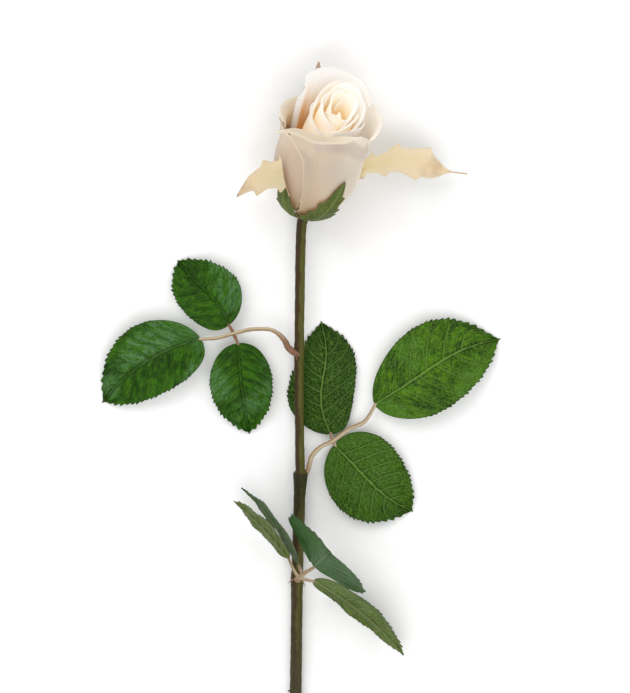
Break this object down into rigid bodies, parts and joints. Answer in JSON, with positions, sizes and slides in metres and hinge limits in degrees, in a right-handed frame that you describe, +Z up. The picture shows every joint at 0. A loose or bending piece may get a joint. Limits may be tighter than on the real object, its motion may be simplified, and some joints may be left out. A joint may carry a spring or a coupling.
{
  "type": "cut rose",
  "caption": "Cut rose lying down: a half-open cream flower on a dark stem, with spreading sepals and compound leaves of toothed leaflets.",
  "frame": {"origin": "centre of the box round the rose, on the surface that it lies on", "axes": "+Z up; +Y along the stem, from the cut end to the flower; +X to the right, seen from above with the flower at the top"},
  "size_m": [0.2208, 0.4026, 0.0673],
  "materials": {
    "stem_bark": "dark brown-green, satin",
    "hip_skin": "green, satin",
    "petiole_skin": "beige pink, satin",
    "sepal_green": "green, matte",
    "sepal_pale": "beige inner face, matte",
    "petal_outer": "pink beige, soft matte",
    "petal_cream": "cream white, soft matte",
    "petal_inner": "cream with yellow depths, soft matte",
    "leaf_dark": "dark green, satin",
    "leaf_mid": "green with light veins, satin",
    "leaf_olive": "olive green, satin"
  },
  "bodies": {
    "root": {"stem": "stem_bark", "hip": "hip_skin", "sepal_front": "sepal_green", "sepal_right_back": "sepal_green", "sepal_left": "sepal_pale", "sepal_right": "sepal_pale", "sepal_back": "sepal_pale", "outer_front": "petal_outer", "outer_left": "petal_outer", "outer_left_back": "petal_outer", "outer_right_back": "petal_cream", "outer_right": "petal_cream", "hood": "petal_cream", "middle_right": "petal_cream", "petiole_left": "petiole_skin", "petiole_right": "petiole_skin", "petiole_lower": "petiole_skin", "leaflet_left_end": "leaf_dark", "leaflet_left_upper": "leaf_dark", "leaflet_left_lower": "leaf_dark", "leaflet_right_end": "leaf_mid", "leaflet_right_upper": "leaf_mid", "leaflet_right_lower": "leaf_mid", "leaflet_lower_left": "leaf_olive", "leaflet_lower_left_front": "leaf_olive", "leaflet_lower_end": "leaf_olive", "leaflet_lower_right": "leaf_olive", "bud": "petal_inner", "inner_1": "petal_inner", "inner_2": "petal_inner", "inner_3": "petal_inner", "centre_1": "petal_inner", "centre_2": "petal_inner", "centre_3": "petal_inner", "heart_1": "petal_inner", "heart_2": "petal_inner", "heart_3": "petal_inner"}
  },
  "joints": []
}
